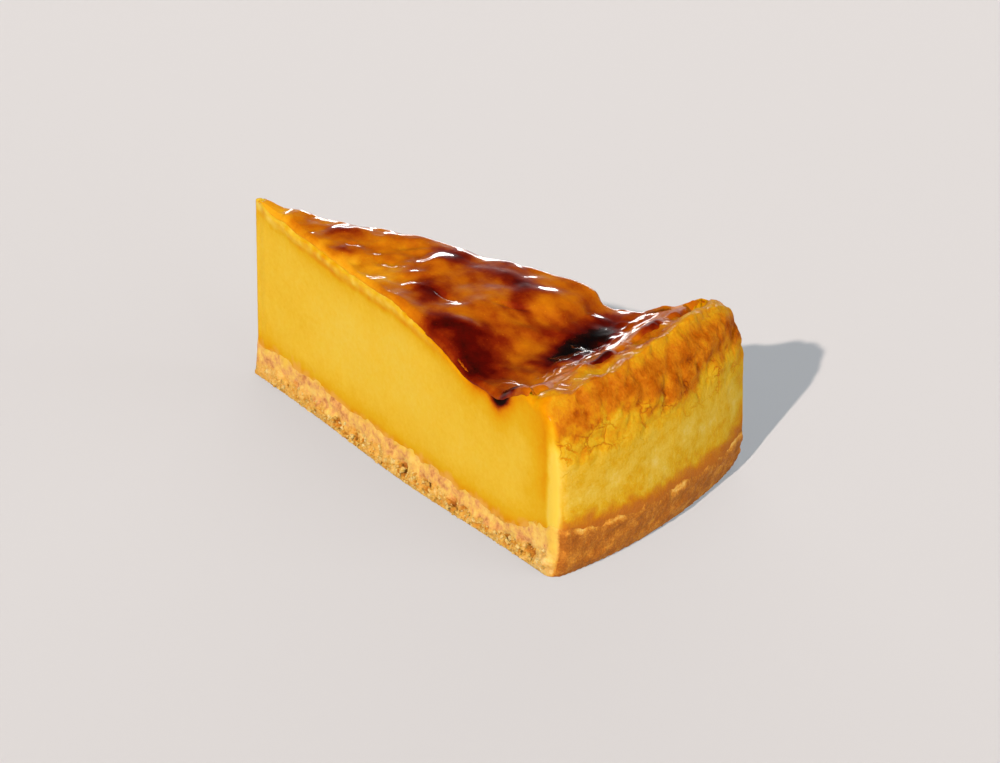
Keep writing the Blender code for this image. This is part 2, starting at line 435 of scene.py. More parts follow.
    def rim_folds(self, x: float, y: float) -> float:
        """Folds of the baked rim: two ridges with long pockets between them.

        Args:
            x: place along the slice.
            y: place across the slice.

        Returns:
            Their height in millimetres.
        """
        r = math.hypot(x, y)
        window = smooth(82.0, 87.0, r) * fall(95.5, 98.5, r)
        slant = y + 0.75 * (x - 88.0)
        folds = 1.0 - 2.0 * abs(grain(slant, 0.35 * x, 0.0, 6.5, 7.7))
        pockets = hill(y, -10.5, 6.5) + 0.8 * hill(y, 6.5, 5.5) + 0.7 * hill(y, 18.0, 4.0)
        inner = self.inner_ridge * hill(r, 88.6, 1.8) * pockets
        trough = self.pocket_depth * hill(r, 91.7, 1.9) * pockets
        outer = self.outer_ridge * hill(r, 94.8, 1.9) * smooth(-20.0, 20.0, y)
        front = self.front_fold * (hill(x, 84.5, 1.8) - hill(x, 80.5, 2.2)) * hill(y, -21.0, 4.5)
        return self.fold_height * window * (folds - 0.5) + inner - trough + outer + front

    def cake_top(self, x: float, y: float) -> float:
        """Height of the whole top surface over a point of the plan.

        Args:
            x: place along the slice.
            y: place across the slice.

        Returns:
            The height in millimetres.
        """
        r, across = self.polar(x, y)
        to_back = smooth(-0.9, 0.9, across)
        moat = mix(*self.moat_height, to_back)
        start = mix(*self.moat_start, to_back)
        floor = mix(*self.moat_floor, to_back)
        crest = mix(*self.rim_crest, smooth(0.3, 1.0, across))
        drop = self.rim_drop + self.rim_skew * across
        rim = self.rim_middle - drop * min(abs(across), 1.0) ** 3
        height = mix(self.plateau(r, across), moat, smooth(start, floor, r))
        height = mix(height, rim, smooth(self.rim_start, crest, r))
        blisters = grain(x, y, 0.0, 8.5, 1.3) + 0.4 * grain(x, y, 0.0, 4.0, 5.9)
        height += self.blister_height * blisters * smooth(1.0, 10.0, r)
        return height + self.skin_step(x, y) + self.rim_folds(x, y)

    def wall_relief(self, y: float, z: float) -> float:
        """Large plates of the baked wall.

        Args:
            y: place across the slice.
            z: height.

        Returns:
            How far they stand out, in millimetres.
        """
        plates = abs(grain(y, 0.0, z, 6.0, 2.2)) * 2.0 - 0.5
        belt = self.plate_depth * smooth(20.0, 27.0, z)
        step = self.plate_step * smooth(24.0, 28.5, z + 2.0 * grain(y, 0.0, 0.0, 9.0, 8.8))
        return belt * plates - step + 0.25 * grain(y, 0.0, z, 10.0, 4.4)

    def plan_point(
        self, share: float, across: float, wall: float, inset: float, tip_shift: float
    ) -> tuple[float, float]:
        """Place a point in plan.

        Args:
            share: 0 at the tip, 1 at the outer wall.
            across: -1 at the front cut, 1 at the back cut.
            wall: distance of the wall from the apex at this height.
            inset: how far the cut face is drawn in, negative where it bulges.
            tip_shift: how far the tip stands out.

        Returns:
            The place along and across the slice, from the apex.
        """
        r = wall * share
        angle = across * self.half_angle
        x = r * math.cos(angle)
        y = r * math.sin(angle)
        half_width = r * math.sin(self.half_angle)
        blunt = math.hypot(half_width, self.tip_bluntness)
        y += across * (blunt - half_width)
        x -= 0.2 * (1.0 - across * across) * fall(0.0, 0.02, share)
        x += self.tip_setback * fall(0.0, 0.05, share)
        x -= tip_shift * fall(0.0, 0.06, share)
        drawn = min(inset, 0.6 * half_width + 0.1)
        x += drawn * math.sin(self.half_angle) * across * across
        y -= across * drawn * math.cos(self.half_angle)
        return x, y

    def filling_point(self, share: float, across: float, level: float) -> Point:
        """Carry a point of the plain wedge onto the potato filling.

        Args:
            share: 0 at the tip, 1 at the outer wall.
            across: -1 at the front cut, 1 at the back cut.
            level: 0 at the biscuit, 1 at the top.

        Returns:
            The point's place, from the apex on the floor.
        """
        radius = self.outer_radius(across)
        x, y = self.plan_point(share, across, radius, 0.0, 0.0)
        low = self.base_top(x, y) + 0.5 * self.layer_gap
        high = self.cake_top(x, y)
        z = mix(low, high, level)
        depth = max(high - z, 0.0)
        shoulder = mix(*self.shoulder_inset, smooth(0.3, 1.0, across))
        shoulder *= (1.0 - min(depth / self.shoulder_height, 1.0)) ** 2
        foot = self.wall_foot_inset * (1.0 - min(z / self.wall_foot_height / 1.6, 1.0)) ** 2
        radius += self.wall_relief(y, z) * share ** 12 - shoulder - foot
        rounding = self.cut_edge_round * smooth(0.0, 0.12, share)
        bend = 1.0 - min(depth / max(rounding, 0.01), 1.0)
        inset = rounding * (1.0 - math.sqrt(1.0 - bend * bend))
        inset += 0.12 * grain(x, 3.0 * across, z, 9.0, 6.1) * (1.0 - bend)
        x, y = self.plan_point(share, across, radius, inset, 0.0)
        if level <= 0.0:
            z = self.base_top(x, y) + 0.5 * self.layer_gap
        elif level >= 1.0:
            z = self.cake_top(x, y)
        return x, y, z

    def base_point(self, share: float, across: float, level: float) -> Point:
        """Carry a point of the plain wedge onto the biscuit base, its broad crumbs included.

        Args:
            share: 0 at the tip, 1 at the outer wall.
            across: -1 at the front cut, 1 at the back cut.
            level: 0 at the floor, 1 at the filling.

        Returns:
            The point's place, from the apex on the floor.
        """
        radius = self.outer_radius(across)
        x, y = self.plan_point(share, across, radius, 0.0, 0.0)
        z = (self.base_top(x, y) - 0.5 * self.layer_gap) * level
        low_part = (1.0 - level) ** 1.3
        crumbs = self.crumb_depth * grain(x, 9.0 * across, z, self.crumb_size, 9.4)
        crumbs *= smooth(0.0, 0.25, level) * (1.0 - 0.85 * smooth(0.45, 0.7, level))
        flare = self.flare_depth * hill(x, self.flare_centre, self.flare_reach)
        flare += self.flare_elsewhere - self.flare_undercut * hill(level, 0.0, 0.1)
        foot = self.wall_foot_inset * (1.0 - min(z / self.wall_foot_height, 1.0)) ** 2
        lip = 0.05 * hill(level, 0.92, 0.2)
        radius += (0.5 * crumbs + lip) * share ** 12 - foot
        x, y = self.plan_point(share, across, radius, -flare * low_part - crumbs, 0.9 * low_part)
        if level >= 1.0:
            z = self.base_top(x, y) - 0.5 * self.layer_gap
        return x, y, z

    def place(self, x: float, y: float, z: float) -> Vector:
        """Move a point from the apex's millimetres to the row frame's metres."""
        return Vector((x + self.apex[0], y + self.apex[1], z)) * MM

    def from_apex(self, point: Vector) -> Point:
        """Move a point from the row frame's metres to the apex's millimetres."""
        return point.x / MM - self.apex[0], point.y / MM - self.apex[1], point.z / MM

    def shoreline(self, x: float, y: float) -> float:
        """How far a point lies outside the sugar's outer border, in millimetres.

        Args:
            x: place along the slice.
            y: place across the slice.

        Returns:
            The distance, negative inside.
        """
        border = 89.4 + 1.0 * smooth(-18.0, -21.5, y) - 2.6 * hill(y, -13.0, 3.8)
        border += 0.9 * hill(y, -4.5, 2.4) + 1.1 * hill(y, 9.5, 4.5) + 1.2 * smooth(15.0, 19.0, y)
        border += 0.5 * grain(x, y, 0.0, 2.6, 17.0) + 0.3 * grain(x, y, 0.0, 1.1, 18.0)
        return math.hypot(x, y) - border

    def scorch(self, x: float, y: float) -> float:
        """How dark the sugar on the top is burnt, from 0 for clear to 1 for black.

        Args:
            x: place along the slice.
            y: place across the slice.

        Returns:
            The burn at that place.
        """
        r, across = self.polar(x, y)
        bent_x = x + 1.7 * grain(x, y, 0.0, 5.0, 11.0) + 0.9 * grain(x, y, 0.0, 2.0, 12.0)
        bent_y = y + 1.7 * grain(x, y, 0.0, 5.0, 13.0) + 0.9 * grain(x, y, 0.0, 2.0, 14.0)
        clear = 1.0
        for patch in SCORCHES:
            clear *= 1.0 - patch.burn * patch.cover(bent_x, bent_y)
        amber = 0.31 + 0.20 * grain(x, y, 0.0, 6.0, 15.0) + 0.10 * grain(x, y, 0.0, 2.2, 16.0)
        front = (across + 1.0) * r * math.sin(self.half_angle)
        amber -= 0.22 * fade(front, 1.8) * fall(46.0, 60.0, r)
        amber -= 0.08 * hill(r, 0.0, 10.0)
        amber -= 0.12 * hill(front, 0.0, 14.0) * hill(r, 30.0, 12.0)
        amber += 0.06 * hill(r, 70.0, 14.0)
        return 1.0 - clear * (1.0 - max(amber, 0.0))


def deselect_all() -> None:
    """Leave object mode with nothing selected."""
    if bpy.context.object and bpy.context.object.mode != "OBJECT":
        bpy.ops.object.mode_set(mode="OBJECT")
    bpy.ops.object.select_all(action="DESELECT")


def make_active(piece: Piece) -> None:
    """Select one piece alone and make it the active one."""
    deselect_all()
    piece.select_set(True)
    bpy.context.view_layer.objects.active = piece


def settle(piece: Piece) -> None:
    """Put a piece's place, turn and scale into its mesh."""
    make_active(piece)
    bpy.ops.object.transform_apply(location=True, rotation=True, scale=True)


def apply_modifier(piece: Piece, kind: str, **settings: object) -> None:
    """Add one modifier to a piece and apply it.

    Args:
        piece: the piece that it changes.
        kind: the modifier's type.
        settings: the modifier's properties.
    """
    make_active(piece)
    modifier = piece.modifiers.new(kind.title(), kind)
    for name, value in settings.items():
        setattr(modifier, name, value)
    bpy.ops.object.modifier_apply(modifier=modifier.name)


def write_attribute(piece: Piece, name: str, values: list[float]) -> None:
    """Store one number for each point of a piece, for its material to read."""
    layer = piece.data.attributes.new(name, "FLOAT", "POINT")
    layer.data.foreach_set("value", values)


def dress(piece: Piece, marks: dict[str, list[float]], material: Material) -> Piece:
    """Give a shaped piece its looks.

    Args:
        piece: the piece.
        marks: for each attribute that its material reads, one number per point.
        material: the material.

    Returns:
        The finished piece.
    """
    for name, values in marks.items():
        write_attribute(piece, name, values)
    piece.data.materials.append(material)
    make_active(piece)
    bpy.ops.object.shade_smooth()
    return piece


@dataclass
class Spot:
    """One point of a shaped wedge, before its fine relief.

    The place is in millimetres from the apex. The shares run along, across and up the wedge. The
    side gap is the distance from the nearer cut. On the wall or on a cut is a share from 0 to 1.
    """

    normal: Vector
    place: Point
    shares: Point
    side_gap: float
    on_wall: float
    on_cut: float


@dataclass
class PlainWedge:
    """A plain wedge of even, square faces, cut from a round slab as with a knife."""

    form: CakeForm
    name: str
    height: float
    voxel: float
    knife_clearance: float = 0.45
    wall_shares: tuple[float, float] = (0.984, 0.995)
    cut_gaps: tuple[float, float] = (0.3, 0.9)

    def build(self) -> Piece:
        """Cut and remesh the wedge.

        Returns:
            The wedge, its apex on the row's apex and its foot on the floor.
        """
        deselect_all()
        apex = self.form.place(0.0, 0.0, 0.5 * self.height)
        bpy.ops.mesh.primitive_cylinder_add(
            vertices=360, radius=self.form.radius * MM, depth=self.height * MM, location=apex
        )
        wedge = bpy.context.object
        wedge.name = wedge.data.name = self.name
        settle(wedge)
        bpy.ops.object.mode_set(mode="EDIT")
        angle = self.form.half_angle
        outward = [(-1.0, 0.0)]
        outward += [(-math.sin(angle), side.value * math.cos(angle)) for side in Side]
        for normal_x, normal_y in outward:
            clearance = 0.0 if normal_y == 0.0 else self.knife_clearance
            bpy.ops.mesh.select_all(action="SELECT")
            bpy.ops.mesh.bisect(
                plane_co=self.form.place(normal_x * clearance, normal_y * clearance, 0.0),
                plane_no=(normal_x, normal_y, 0.0),
                use_fill=True,
                clear_outer=True,
            )
        bpy.ops.object.mode_set(mode="OBJECT")
        apply_modifier(wedge, "REMESH", mode="VOXEL", voxel_size=self.voxel * MM, adaptivity=0.0)
        return wedge

    def shares(self, point: Vector) -> Point:
        """Read a point of the plain wedge as shares of its length, width and height.

        Args:
            point: the point in the row frame.

        Returns:
            The share from tip to wall, the place across and the level.
        """
        x, y, z = self.form.from_apex(point)
        angle = self.form.half_angle
        half_width = x * math.tan(angle) + self.knife_clearance / math.cos(angle)
        share = min(math.hypot(max(x, 0.0), y) / self.form.radius, 1.0)
        across = min(max(y / half_width, -1.0), 1.0)
        return share, across, min(max(z / self.height, 0.0), 1.0)

    def carry(self, piece: Piece, mould: Callable[..., Point]) -> list[Spot]:
        """Carry the plain wedge onto a form.

        Args:
            piece: the plain wedge's object.
            mould: the rule that turns a point's three shares into its place from the apex.

        Returns:
            What is known of each point.
        """
        zones = [self.shares(vertex.co) for vertex in piece.data.vertices]
        for vertex, zone in zip(piece.data.vertices, zones):
            vertex.co = self.form.place(*mould(*zone))
        piece.data.update()
        width = self.form.radius * math.sin(self.form.half_angle)
        spots = []
        for vertex, zone in zip(piece.data.vertices, zones):
            side_gap = (1.0 - abs(zone[1])) * zone[0] * width
            on_wall = smooth(*self.wall_shares, zone[0])
            on_cut = fall(*self.cut_gaps, side_gap)
            place = self.form.from_apex(vertex.co)
            spots.append(Spot(vertex.normal.copy(), place, zone, side_gap, on_wall, on_cut))
        return spots


@dataclass(frozen=True)
class BakedCustard:
    """Sweet potato custard, dense and moist where it was cut, oven-browned and crazed outside."""

    name: str = "baked_sweet_potato_custard"
    grain_mm: float = 0.8
    flock_mm: float = 2.2
    cloud_mm: float = 8.0
    mottle_mm: float = 2.6
    pore_mm: float = 0.6
    plate_mm: float = 3.4
    warp_mm: float = 1.6
    warp_reach_mm: float = 2.6
    cut_stops: Stops = (
        (0.0, "#E4C44A"), (0.11, "#E2BA36"), (0.22, "#DCAC1E"), (0.34, "#DA9E0E"),
        (0.46, "#D78C04"), (0.60, "#C26404"), (0.74, "#8C2C04"), (0.88, "#3E0E04"),
        (1.0, "#160604"),
    )
    skin_stops: Stops = (
        (0.0, "#DCBC5C"), (0.12, "#D8B03C"), (0.26, "#D2A01C"), (0.40, "#CC8610"),
        (0.54, "#C06E10"), (0.68, "#AE5606"), (0.84, "#8A3A0A"), (1.0, "#481A04"),
    )
    soaked_cut: str = "#E0A444"
    soaked_skin: str = "#B86C28"

    def build(self) -> Material:
        """Make the material.

        Returns:
            The finished material.
        """
        material, tree, shader = new_material(self.name)
        place = add_node(tree, "TexCoord", result="Object")
        toast, crust, gloss, recess_shade, craze, soak = read_marks(
            tree, "toast", "crust", "gloss", "recess_shade", "craze", "soak"
        )
        # The knife leaves the fine grain of the mash, in paler and deeper clouds
        fine = speckle(tree, place, self.grain_mm, 4.0)
        cloud = speckle(tree, place, self.cloud_mm, 2.0)
        flock = speckle(tree, place, self.flock_mm, 3.0)
        cut_tone = shifted(tree, toast, (fine, 0.5, 0.15), (flock, 0.5, 0.12), (cloud, 0.5, 0.12))
        cut_colour = add_node(tree, "ValToRGB", {"Fac": cut_tone}, self.cut_stops)
        # The oven dries the skin in patches, browns its high places and opens dark pores
        mottle = speckle(tree, place, self.mottle_mm, 5.0)
        pores = speckle(tree, place, self.pore_mm, 4.0)
        # As it shrank in the tin the skin cracked like dried mud, in plates of a few millimetres;
        # the cracks are sunk by the bump and painted darker as painted shade
        swirl = {"Vector": place, "Scale": 1.0 / (self.warp_mm * MM), "Detail": 3.0}
        warp = add_node(tree, "TexNoise", swirl, result="Color")
        bend = {0: warp, 1: (self.warp_reach_mm * MM,) * 3, 2: place}
        bent = add_node(tree, "VectorMath", bend, operation="MULTIPLY_ADD")
        plates = {"Vector": bent, "Scale": 1.0 / (self.plate_mm * MM)}
        gap = add_node(tree, "TexVoronoi", plates, feature="DISTANCE_TO_EDGE")
        crack = reckon(tree, "MULTIPLY", nearness(tree, gap, 0.06), craze)
        # Random patches and pores, then painted shade: darker in the pits, seams and cracks
        wear_and_recess_shade = (mottle, 0.5, 0.22), (pores, 0.5, 0.30), (recess_shade, 0.0, 0.10), (crack, 0.0, 0.21)
        skin_tone = shifted(tree, toast, *wear_and_recess_shade)
        skin_colour = add_node(tree, "ValToRGB", {"Fac": skin_tone}, self.skin_stops)
        bare = blend(tree, crust, cut_colour, skin_colour)
        soaked = blend(tree, crust, linear(self.soaked_cut), linear(self.soaked_skin))
        crisp = reckon(tree, "MULTIPLY_ADD", toast, 1.8, 0.1)
        lumps = reckon(tree, "MULTIPLY", pores, crisp)
        opened = shifted(tree, lumps, (mottle, 0.5, 0.15), (crack, 0.0, -0.7))
        height = blend(tree, crust, reckon(tree, "MULTIPLY", fine, 0.24), opened)
        relief = {"Height": height, "Strength": 0.7, "Distance": 0.34 * MM}
        feed(tree, shader, {
            "Base Color": blend(tree, soak, bare, soaked),
            "Normal": add_node(tree, "Bump", relief),
            "Roughness": add_node(tree, "MapRange", {0: gloss, 1: 0.0, 2: 1.0, 3: 0.55, 4: 0.34}),
            "IOR": 1.4,
            "Specular IOR Level": 0.02,
            "Coat Weight": gloss,
            "Coat Roughness": 0.14,
            "Subsurface Weight": 0.25,
            "Subsurface Radius": (1.0, 0.5, 0.12),
            "Subsurface Scale": 1.8 * MM,
        })
        return material


@dataclass(frozen=True)
class BurntSugar:
    """Caramel, torched until it ran: a hard clear gloss over amber, red-brown and black burns."""

    name: str = "torched_caramel_glaze"
    fleck_mm: float = 0.5
    ripple_mm: float = 1.6
    vein_mm: float = 4.5
    bubble_mm: float = 1.5
    stops: Stops = (
        (0.0, "#E8A41C"), (0.12, "#DC9012"), (0.25, "#C87208"), (0.37, "#B65C08"),
        (0.48, "#9C4006"), (0.60, "#7E2004"), (0.74, "#560802"), (0.88, "#260804"),
        (1.0, "#0A0606"),
    )

    def build(self) -> Material:
        """Make the material.

        Returns:
            The finished material.
        """
        material, tree, shader = new_material(self.name)
        place = add_node(tree, "TexCoord", result="Object")
        scorch, wet = read_marks(tree, "scorch", "wet")
        # The burn gathers in veins and specks where the sugar boiled; tiny bubbles are raised in
        # the relief and painted paler as gold glints, a painted highlight
        ripple = speckle(tree, place, self.ripple_mm, 4.0)
        vein = speckle(tree, place, self.vein_mm, 3.0)
        fleck = speckle(tree, place, self.fleck_mm, 3.0)
        bubbles = {"Vector": place, "Scale": 1.0 / (self.bubble_mm * MM)}
        bubble_and_glint = nearness(tree, add_node(tree, "TexVoronoi", bubbles), 0.12)
        burns = (ripple, 0.5, 0.16), (vein, 0.5, 0.16), (fleck, 0.5, 0.12), (bubble_and_glint, 0.0, -0.16)
        tone = shifted(tree, scorch, *burns)
        height = reckon(tree, "MULTIPLY_ADD", bubble_and_glint, 0.45, ripple)
        relief = {"Height": height, "Strength": 0.3, "Distance": 0.12 * MM}
        feed(tree, shader, {
            "Base Color": add_node(tree, "ValToRGB", {"Fac": tone}, self.stops),
            "Normal": add_node(tree, "Bump", relief),
            "Roughness": 0.35,
            "IOR": 1.45,
            "Specular IOR Level": 0.03,
            "Coat Weight": wet,
            "Coat Roughness": 0.06,
            "Coat IOR": 1.48,
            "Subsurface Weight": 0.12,
            "Subsurface Radius": (1.0, 0.3, 0.05),
            "Subsurface Scale": 1.2 * MM,
        })
        return material


@dataclass(frozen=True)
class BiscuitCrumb:
    """Pressed biscuit crumb baked with butter: sandy and matt, smooth where custard soaked in."""

    name: str = "pressed_biscuit_crumb"
    sand_mm: float = 0.42
    patch_mm: float = 1.9
    dry_stops: Stops = (
        (0.0, "#F6DC9C"), (0.14, "#EEC87A"), (0.30, "#E4AE50"), (0.46, "#D68E30"),
        (0.62, "#B2681E"), (0.80, "#8E4C16"), (1.0, "#5A2C0A"),
    )
    wet_stops: Stops = (
        (0.0, "#ECC668"), (0.15, "#E8BA5C"), (0.3, "#E2AC5C"), (0.42, "#DC9E5C"),
        (0.6, "#C6844A"), (1.0, "#96582C"),
    )
    custard: str = "#E8C04A"

    def build(self) -> Material:
        """Make the material.

        Returns:
            The finished material.
        """
        material, tree, shader = new_material(self.name)
        place = add_node(tree, "TexCoord", result="Object")
        toast, recess_shade, soak, seep = read_marks(tree, "toast", "recess_shade", "soak", "seep")
        sand = speckle(tree, place, self.sand_mm, 4.0)
        patch = speckle(tree, place, self.patch_mm, 3.0)
        # Pits are painted darker through the recess mark: painted shade
        tone = shifted(tree, toast, (sand, 0.5, 0.46), (patch, 0.5, 0.40), (recess_shade, 0.0, 0.20))
        dry = add_node(tree, "ValToRGB", {"Fac": tone}, self.dry_stops)
        # Custard soaked into the top of the base and set smooth, in yellow and tan blotches
        blotch = shifted(tree, toast, (patch, 0.5, 2.0), (sand, 0.5, 0.5))
        wet = add_node(tree, "ValToRGB", {"Fac": blotch}, self.wet_stops)
        crumbly = reckon(tree, "MULTIPLY_ADD", soak, -0.8, 1.0)
        height = reckon(tree, "MULTIPLY", sand, crumbly)
        relief = {"Height": height, "Strength": 0.8, "Distance": 0.3 * MM}
        feed(tree, shader, {
            # Custard yellow where custard soaked into the cut, and along the corner strip as partly
            # painted light
            "Base Color": blend(tree, seep, blend(tree, soak, dry, wet), linear(self.custard)),
            "Normal": add_node(tree, "Bump", relief),
            "Roughness": 0.7,
            "IOR": 1.4,
            "Specular IOR Level": 0.15,
            "Subsurface Weight": 0.3,
            "Subsurface Radius": (1.0, 0.55, 0.25),
            "Subsurface Scale": 1.2 * MM,
        })
        return material


@dataclass
class PotatoFilling:
    """The potato filling with its baked skin."""

    form: CakeForm
    finish: BakedCustard = BakedCustard()
    plain_height: float = 30.0
    voxel: float = 0.40
    band_depth: float = 2.7
    under_glaze: float = 0.55
    overlap: float = 1.2
    tip_drop: float = 0.7

    def cut_toast(self, x: float, y: float, z: float, depth: float) -> float:
        """Browning of a cut face, from the edges that the oven reached, and a pale strip at the
        wall corner, partly a paler rind and partly painted light.

        Args:
            x: place along the slice.
            y: place across the slice.
            z: height.
            depth: distance below the top.

        Returns:
            The browning, 0 for the palest custard.
        """
        r = math.hypot(x, y)
        above_base = z - self.form.base_top(x, y)
        to_wall = 97.5 - r
        late = smooth(48.0, 66.0, r)
        wander = grain(x, 0.0, z, 3.0, 21.0)
        toast = 0.07 + 0.06 * fade(r, 7.0) + 0.06 * grain(x, 0.0, z, 14.0, 22.0)
        toast += 0.22 * fade(above_base + 0.8 * wander, 1.6) + 0.14 * fade(above_base, 5.0)
        line = self.band_depth + 0.35 * wander
        clear = (1.0 - late) * mix(0.45, 1.0, smooth(5.0, 18.0, r))
        toast += 0.24 * fade(depth - line, 2.4) * clear
        toast += 0.10 * hill(depth, line + 0.1, 0.5) * clear
        toast -= 0.08 * fall(line - 1.2, line - 0.1, depth) * clear
        toast += 0.22 * grain(x, 0.0, z, 1.5, 49.0) * hill(depth, 1.4, 1.6) * (1.0 - late)
        edge = late * (1.0 - 0.72 * smooth(80.0, 86.0, r))
        toast += (0.30 * fade(depth, 1.5) + 0.26 * fade(depth, 4.5)) * edge
        toast += 0.25 * fade(to_wall - 2.0, 4.5) * smooth(2.0, 8.0, above_base)
        toast += 0.08 * hill(r, 92.0, 7.0) * smooth(22.0, 30.0, z)
        # The rounded corner by the wall is painted pale: partly a paler rind, partly painted light
        # where the corner faces the lamp
        pale_rind_and_painted_light = fall(0.1, 1.8, to_wall + 0.3 * wander)
        toast -= 0.42 * pale_rind_and_painted_light * (1.0 - 0.6 * smooth(25.0, 31.0, z))
        if y < 0.0:
            stain = hill(r + 0.9 * wander, 80.8, 2.8) * fade(depth + 1.2 * wander, 1.9)
            toast += 0.60 * min(1.3 * stain, 1.0)
            toast += 0.24 * hill(r, 82.5, 5.4) * fade(depth, 4.2)
        seep = self.form.scorch(x, y) * late * fall(74.0, 78.0, r)
        return toast + 0.42 * seep * fade(depth + 0.5 * wander, 1.6)

    def wall_toast(self, x: float, y: float, z: float, above_lip: float) -> float:
        """Browning of the outer wall: a browned top, a yellow belt and a brown foot.

        Args:
            x: place along the slice.
            y: place across the slice.
            z: height.
            above_lip: height above the biscuit's upper edge.

        Returns:
            The browning of the skin.
        """
        limit = 29.2 + 2.2 * hill(y, -16.0, 7.0) - 1.6 * hill(y, 4.0, 7.0)
        limit += 2.4 * grain(x, y, z, 3.4, 23.0) + 1.6 * grain(x, y, z, 1.4, 26.0)
        browned = 0.30 * smooth(limit - 2.4, limit + 1.6, z) + 0.06 * smooth(22.0, 27.0, z)
        browned += 0.20 * grain(x, y, z, 2.2, 27.0) * smooth(26.0, 31.0, z)
        above = max(above_lip, 0.0) + grain(x, y, z, 2.2, 28.0)
        foot = 0.26 * fall(0.2, 4.0, above) + 0.16 * math.exp(-above / 6.0)
        # Paler near the front corner, carrying on the pale corner strip, partly painted light;
        # browner towards the back corner
        corner = 0.12 * smooth(21.0, 27.5, y) - 0.06 * smooth(24.0, 27.5, -y)
        cloudy = 0.13 * grain(x, y, z, 3.6, 24.0) + 0.11 * grain(x, y, z, 1.5, 61.0)
        belt = 0.21 + cloudy * hill(z, 15.0, 9.0) - 0.09 * hill(z, 16.5, 4.5)
        return belt + browned + foot + corner

    def rim_toast(self, x: float, y: float) -> float:
        """Browning of the rim beyond the sugar: yellow pockets and crests between brown ridges.

        Args:
            x: place along the slice.
            y: place across the slice.

        Returns:
            The browning of the skin.
        """
        r = math.hypot(x, y)
        toast = 0.56 + 0.18 * grain(x, y, 0.0, 2.6, 29.0) + 0.10 * grain(x, y, 0.0, 1.0, 62.0)
        pocket = hill(y, -11.5, 6.0) * hill(r, 92.0, 2.2)
        toast += 0.30 * hill(r, 89.6, 1.0) * hill(y, -5.0, 4.0) - 0.32 * pocket
        toast -= 0.26 * hill(r, 95.4, 1.1) * smooth(-12.0, -4.0, y)
        toast -= 0.34 * smooth(9.0, 16.0, y) * hill(r, 96.0, 2.4)
        toast -= 0.22 * smooth(-21.0, -26.0, y)
        return max(toast, 0.36)

    def leaf_edge(self, share: float, depth: float, y: float) -> float:
        """How close a point lies to the thin curled edge between the rim and the wall.

        Args:
            share: 0 at the tip, 1 at the outer wall.
            depth: distance below the top.
            y: place across the slice.

        Returns:
            A share from 0 to 1.
        """
        wave = 0.5 + 0.3 * grain(0.0, y, 0.0, 4.0, 60.0)
        patchy = smooth(-24.0, -18.0, y) * smooth(-0.35, 0.25, grain(0.0, y, 0.0, 3.0, 66.0))
        return hill(100.0 * (1.0 - share), wave, 0.6) * hill(depth, 0.0, 0.8) * patchy

    def wall_detail(self, x: float, y: float, z: float) -> tuple[float, float]:
        """Fine crazing and crumbly plates of the wall.

        Args:
            x: place along the slice.
            y: place across the slice.
            z: height.

        Returns:
            The relief in millimetres, and how deep in a crack the point lies.
        """
        rough = smooth(21.0, 28.0, z + 2.6 * grain(x, y, z, 4.0, 36.0))
        crumbs = 0.18 * crumble(x, y, z, 2.4, "CHEBYCHEV") + 0.20 * crumble(x, y, z, 1.3)
        plates = 0.5 - abs(grain(x, y, z, 2.8, 31.0)) * 2.0
        seam = smooth(0.25, 0.5, plates) * rough
        pit = smooth(0.24, 0.46, grain(x, y, z, 1.5, 35.0)) * rough
        relief = mix(0.12, 0.9, rough) * crumbs - 0.12 * seam - 0.20 * pit
        return relief + 0.05 * grain(x, y, z, 2.2, 34.0), max(0.5 * seam, pit)

    def mould(self, share: float, across: float, level: float) -> Point:
        """Carry the plain wedge's shares onto the filling, its foot a little past the joint."""
        x, y, z = self.form.filling_point(share, across, level)
        return x, y, z - self.overlap * fall(0.0, 0.10, level)

    def build(self) -> Piece:
        """Shape, dress and place the filling.

        Returns:
            The finished piece.
        """
        wedge = PlainWedge(self.form, "potato_cake_filling", self.plain_height, self.voxel)
        piece = wedge.build()
        marks = {name: [] for name in ("toast", "crust", "gloss", "recess_shade", "craze", "soak")}
        for vertex, spot in zip(piece.data.vertices, wedge.carry(piece, self.mould)):
            x, y, z = spot.place
            share, _, level = spot.shares
            on_wall, on_cut = spot.on_wall, spot.on_cut
            r = math.hypot(x, y)
            depth = self.form.cake_top(x, y) - z
            above_lip = z - self.form.base_top(x, y)
            on_top = smooth(0.97, 0.99, level)
            ashore = smooth(-1.6, -0.4, self.form.shoreline(x, y))
            skin = max(on_wall, on_top) * (1.0 - on_cut)
            relief, crack = self.wall_detail(x, y, z)
            shift = relief * on_wall * (1.0 - on_cut) * (1.0 - 0.6 * on_top)
            early = fall(50.0, 64.0, x)
            groove = hill(depth, self.band_depth + 0.35, 0.45)
            band = hill(depth, 1.5, 0.8) * (0.6 + 1.4 * grain(x, 0.0, z, 1.7, 37.0))
            banded = early * smooth(4.0, 14.0, x) * on_cut * (1.0 - on_top)
            shift += (0.10 * band - 0.02 * groove) * banded
            shift += 0.035 * grain(x, 0.0, z, 1.3, 38.0) * on_cut
            shift -= self.under_glaze * on_top * smooth(0.5, 2.0, spot.side_gap) * (1.0 - ashore)
            folds = 0.16 * grain(x, y, z, 1.8, 39.0) + 0.20 * crumble(x, y, z, 1.6)
            leaf = self.leaf_edge(share, depth, y)
            shift += folds * on_top * ashore * (1.0 - on_wall) + 0.22 * leaf
            vertex.co += spot.normal * shift * MM
            rounded = fall(0.3, 2.2, x) * smooth(0.9, 1.0, level)
            vertex.co.z -= self.tip_drop * rounded * MM
            rim = fall(0.6, 3.2, depth)
            wall = self.wall_toast(x, y, z, above_lip)
            outside = mix(wall, self.rim_toast(x, y), max(on_top, rim))
